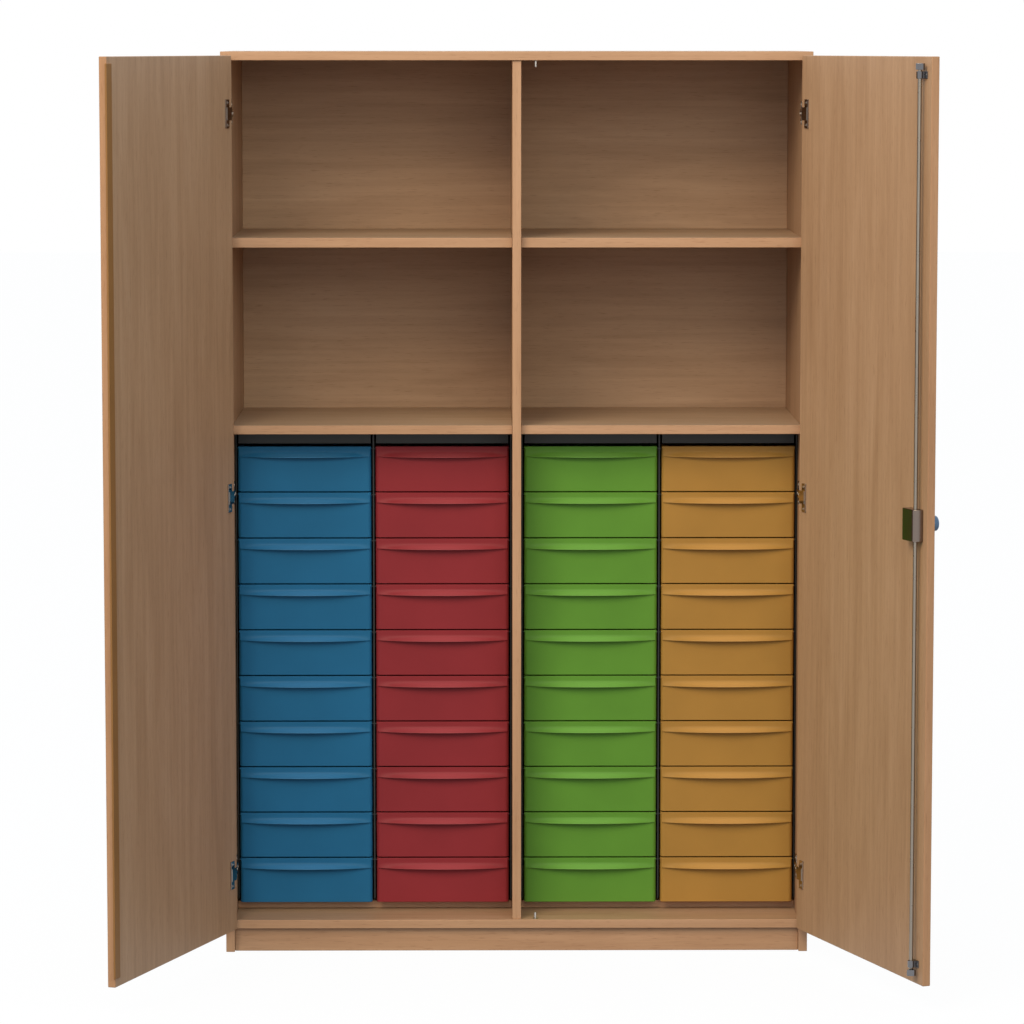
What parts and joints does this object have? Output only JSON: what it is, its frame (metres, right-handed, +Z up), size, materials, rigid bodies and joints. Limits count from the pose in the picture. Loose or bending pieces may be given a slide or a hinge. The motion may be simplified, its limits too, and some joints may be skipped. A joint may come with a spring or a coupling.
{
  "type": "classroom tray storage unit",
  "caption": "Tall two-door cupboard in beech-faced board: open shelf spaces above columns of coloured moulded trays that slide in steel racks; cup-hinged doors and a rod lock.",
  "frame": {"origin": "on the floor, under the middle of the plinth board", "axes": "+Z up, +Y towards the back panel, +X to the right of a person who faces the open front"},
  "size_m": [1.6039, 1.0717, 1.85],
  "materials": {
    "beech_board": "satin beech-faced board with matching edge band",
    "dark_strip": "brown, satin",
    "nickel": "bright nickel plate",
    "black_steel": "matt black powder coat",
    "knob": "slate blue, glossy",
    "tray_blue": "blue, satin moulded",
    "tray_red": "red, satin moulded",
    "tray_green": "green, satin moulded",
    "tray_orange": "orange-yellow, satin moulded"
  },
  "bodies": {
    "carcass": {"side_left": "beech_board", "side_right": "beech_board", "top_panel": "beech_board", "bottom_panel": "beech_board", "back_panel": "beech_board", "plinth": "beech_board", "centre_divider": "beech_board", "tray_bay_shelf_left": "beech_board", "tray_bay_shelf_right": "beech_board", "upper_shelf_left": "beech_board", "upper_shelf_right": "beech_board", "tray_rack_left": "black_steel", "tray_rack_right": "black_steel"},
    "left_door": {"door_left": "beech_board", "closing_strip": "dark_strip"},
    "right_door": {"door_right": "beech_board", "lock_case": "nickel", "knob_rosette": "nickel"},
    "knob": {"lock_knob": "knob"},
    "rod": {"lock_rod": "nickel"},
    "tray_blue_01": {"tray_blue_01": "tray_blue"},
    "tray_blue_02": {"tray_blue_02": "tray_blue"},
    "tray_blue_03": {"tray_blue_03": "tray_blue"},
    "tray_blue_04": {"tray_blue_04": "tray_blue"},
    "tray_blue_05": {"tray_blue_05": "tray_blue"},
    "tray_blue_06": {"tray_blue_06": "tray_blue"},
    "tray_blue_07": {"tray_blue_07": "tray_blue"},
    "tray_blue_08": {"tray_blue_08": "tray_blue"},
    "tray_blue_09": {"tray_blue_09": "tray_blue"},
    "tray_blue_10": {"tray_blue_10": "tray_blue"},
    "tray_red_01": {"tray_red_01": "tray_red"},
    "tray_red_02": {"tray_red_02": "tray_red"},
    "tray_red_03": {"tray_red_03": "tray_red"},
    "tray_red_04": {"tray_red_04": "tray_red"},
    "tray_red_05": {"tray_red_05": "tray_red"},
    "tray_red_06": {"tray_red_06": "tray_red"},
    "tray_red_07": {"tray_red_07": "tray_red"},
    "tray_red_08": {"tray_red_08": "tray_red"},
    "tray_red_09": {"tray_red_09": "tray_red"},
    "tray_red_10": {"tray_red_10": "tray_red"},
    "tray_green_01": {"tray_green_01": "tray_green"},
    "tray_green_02": {"tray_green_02": "tray_green"},
    "tray_green_03": {"tray_green_03": "tray_green"},
    "tray_green_04": {"tray_green_04": "tray_green"},
    "tray_green_05": {"tray_green_05": "tray_green"},
    "tray_green_06": {"tray_green_06": "tray_green"},
    "tray_green_07": {"tray_green_07": "tray_green"},
    "tray_green_08": {"tray_green_08": "tray_green"},
    "tray_green_09": {"tray_green_09": "tray_green"},
    "tray_green_10": {"tray_green_10": "tray_green"},
    "tray_orange_01": {"tray_orange_01": "tray_orange"},
    "tray_orange_02": {"tray_orange_02": "tray_orange"},
    "tray_orange_03": {"tray_orange_03": "tray_orange"},
    "tray_orange_04": {"tray_orange_04": "tray_orange"},
    "tray_orange_05": {"tray_orange_05": "tray_orange"},
    "tray_orange_06": {"tray_orange_06": "tray_orange"},
    "tray_orange_07": {"tray_orange_07": "tray_orange"},
    "tray_orange_08": {"tray_orange_08": "tray_orange"},
    "tray_orange_09": {"tray_orange_09": "tray_orange"},
    "tray_orange_10": {"tray_orange_10": "tray_orange"}
  },
  "joints": [
    {"name": "left_door_hinge", "type": "hinge", "parent": "carcass", "child": "left_door", "pos_m": [-0.593, -0.039, 0.947], "axis": [0, 0, -1], "range_deg": [-110, 0]},
    {"name": "right_door_hinge", "type": "hinge", "parent": "carcass", "child": "right_door", "pos_m": [0.593, -0.039, 0.947], "axis": [0, 0, 1], "range_deg": [-110, 0]},
    {"name": "knob_turn", "type": "hinge", "parent": "right_door", "child": "knob", "pos_m": [0.77769, -0.54643, 0.947], "axis": [0.9397, 0.342, 0], "range_deg": [0, 90]},
    {"name": "rod_turn", "type": "hinge", "parent": "right_door", "child": "rod", "pos_m": [0.75984, -0.57634, 0.947], "axis": [0, 0, 1], "range_deg": [-90, 0]},
    {"name": "tray_blue_01_slide", "type": "slide", "parent": "carcass", "child": "tray_blue_01", "axis": [0, -1, 0], "range_m": [0, 0.3]},
    {"name": "tray_blue_02_slide", "type": "slide", "parent": "carcass", "child": "tray_blue_02", "axis": [0, -1, 0], "range_m": [0, 0.3]},
    {"name": "tray_blue_03_slide", "type": "slide", "parent": "carcass", "child": "tray_blue_03", "axis": [0, -1, 0], "range_m": [0, 0.3]},
    {"name": "tray_blue_04_slide", "type": "slide", "parent": "carcass", "child": "tray_blue_04", "axis": [0, -1, 0], "range_m": [0, 0.3]},
    {"name": "tray_blue_05_slide", "type": "slide", "parent": "carcass", "child": "tray_blue_05", "axis": [0, -1, 0], "range_m": [0, 0.3]},
    {"name": "tray_blue_06_slide", "type": "slide", "parent": "carcass", "child": "tray_blue_06", "axis": [0, -1, 0], "range_m": [0, 0.3]},
    {"name": "tray_blue_07_slide", "type": "slide", "parent": "carcass", "child": "tray_blue_07", "axis": [0, -1, 0], "range_m": [0, 0.3]},
    {"name": "tray_blue_08_slide", "type": "slide", "parent": "carcass", "child": "tray_blue_08", "axis": [0, -1, 0], "range_m": [0, 0.3]},
    {"name": "tray_blue_09_slide", "type": "slide", "parent": "carcass", "child": "tray_blue_09", "axis": [0, -1, 0], "range_m": [0, 0.3]},
    {"name": "tray_blue_10_slide", "type": "slide", "parent": "carcass", "child": "tray_blue_10", "axis": [0, -1, 0], "range_m": [0, 0.3]},
    {"name": "tray_red_01_slide", "type": "slide", "parent": "carcass", "child": "tray_red_01", "axis": [0, -1, 0], "range_m": [0, 0.3]},
    {"name": "tray_red_02_slide", "type": "slide", "parent": "carcass", "child": "tray_red_02", "axis": [0, -1, 0], "range_m": [0, 0.3]},
    {"name": "tray_red_03_slide", "type": "slide", "parent": "carcass", "child": "tray_red_03", "axis": [0, -1, 0], "range_m": [0, 0.3]},
    {"name": "tray_red_04_slide", "type": "slide", "parent": "carcass", "child": "tray_red_04", "axis": [0, -1, 0], "range_m": [0, 0.3]},
    {"name": "tray_red_05_slide", "type": "slide", "parent": "carcass", "child": "tray_red_05", "axis": [0, -1, 0], "range_m": [0, 0.3]},
    {"name": "tray_red_06_slide", "type": "slide", "parent": "carcass", "child": "tray_red_06", "axis": [0, -1, 0], "range_m": [0, 0.3]},
    {"name": "tray_red_07_slide", "type": "slide", "parent": "carcass", "child": "tray_red_07", "axis": [0, -1, 0], "range_m": [0, 0.3]},
    {"name": "tray_red_08_slide", "type": "slide", "parent": "carcass", "child": "tray_red_08", "axis": [0, -1, 0], "range_m": [0, 0.3]},
    {"name": "tray_red_09_slide", "type": "slide", "parent": "carcass", "child": "tray_red_09", "axis": [0, -1, 0], "range_m": [0, 0.3]},
    {"name": "tray_red_10_slide", "type": "slide", "parent": "carcass", "child": "tray_red_10", "axis": [0, -1, 0], "range_m": [0, 0.3]},
    {"name": "tray_green_01_slide", "type": "slide", "parent": "carcass", "child": "tray_green_01", "axis": [0, -1, 0], "range_m": [0, 0.3]},
    {"name": "tray_green_02_slide", "type": "slide", "parent": "carcass", "child": "tray_green_02", "axis": [0, -1, 0], "range_m": [0, 0.3]},
    {"name": "tray_green_03_slide", "type": "slide", "parent": "carcass", "child": "tray_green_03", "axis": [0, -1, 0], "range_m": [0, 0.3]},
    {"name": "tray_green_04_slide", "type": "slide", "parent": "carcass", "child": "tray_green_04", "axis": [0, -1, 0], "range_m": [0, 0.3]},
    {"name": "tray_green_05_slide", "type": "slide", "parent": "carcass", "child": "tray_green_05", "axis": [0, -1, 0], "range_m": [0, 0.3]},
    {"name": "tray_green_06_slide", "type": "slide", "parent": "carcass", "child": "tray_green_06", "axis": [0, -1, 0], "range_m": [0, 0.3]},
    {"name": "tray_green_07_slide", "type": "slide", "parent": "carcass", "child": "tray_green_07", "axis": [0, -1, 0], "range_m": [0, 0.3]},
    {"name": "tray_green_08_slide", "type": "slide", "parent": "carcass", "child": "tray_green_08", "axis": [0, -1, 0], "range_m": [0, 0.3]},
    {"name": "tray_green_09_slide", "type": "slide", "parent": "carcass", "child": "tray_green_09", "axis": [0, -1, 0], "range_m": [0, 0.3]},
    {"name": "tray_green_10_slide", "type": "slide", "parent": "carcass", "child": "tray_green_10", "axis": [0, -1, 0], "range_m": [0, 0.3]},
    {"name": "tray_orange_01_slide", "type": "slide", "parent": "carcass", "child": "tray_orange_01", "axis": [0, -1, 0], "range_m": [0, 0.3]},
    {"name": "tray_orange_02_slide", "type": "slide", "parent": "carcass", "child": "tray_orange_02", "axis": [0, -1, 0], "range_m": [0, 0.3]},
    {"name": "tray_orange_03_slide", "type": "slide", "parent": "carcass", "child": "tray_orange_03", "axis": [0, -1, 0], "range_m": [0, 0.3]},
    {"name": "tray_orange_04_slide", "type": "slide", "parent": "carcass", "child": "tray_orange_04", "axis": [0, -1, 0], "range_m": [0, 0.3]},
    {"name": "tray_orange_05_slide", "type": "slide", "parent": "carcass", "child": "tray_orange_05", "axis": [0, -1, 0], "range_m": [0, 0.3]},
    {"name": "tray_orange_06_slide", "type": "slide", "parent": "carcass", "child": "tray_orange_06", "axis": [0, -1, 0], "range_m": [0, 0.3]},
    {"name": "tray_orange_07_slide", "type": "slide", "parent": "carcass", "child": "tray_orange_07", "axis": [0, -1, 0], "range_m": [0, 0.3]},
    {"name": "tray_orange_08_slide", "type": "slide", "parent": "carcass", "child": "tray_orange_08", "axis": [0, -1, 0], "range_m": [0, 0.3]},
    {"name": "tray_orange_09_slide", "type": "slide", "parent": "carcass", "child": "tray_orange_09", "axis": [0, -1, 0], "range_m": [0, 0.3]},
    {"name": "tray_orange_10_slide", "type": "slide", "parent": "carcass", "child": "tray_orange_10", "axis": [0, -1, 0], "range_m": [0, 0.3]}
  ],
  "couplings": [
    {"joint": "rod_turn", "follows": "knob_turn", "ratio": -1}
  ]
}
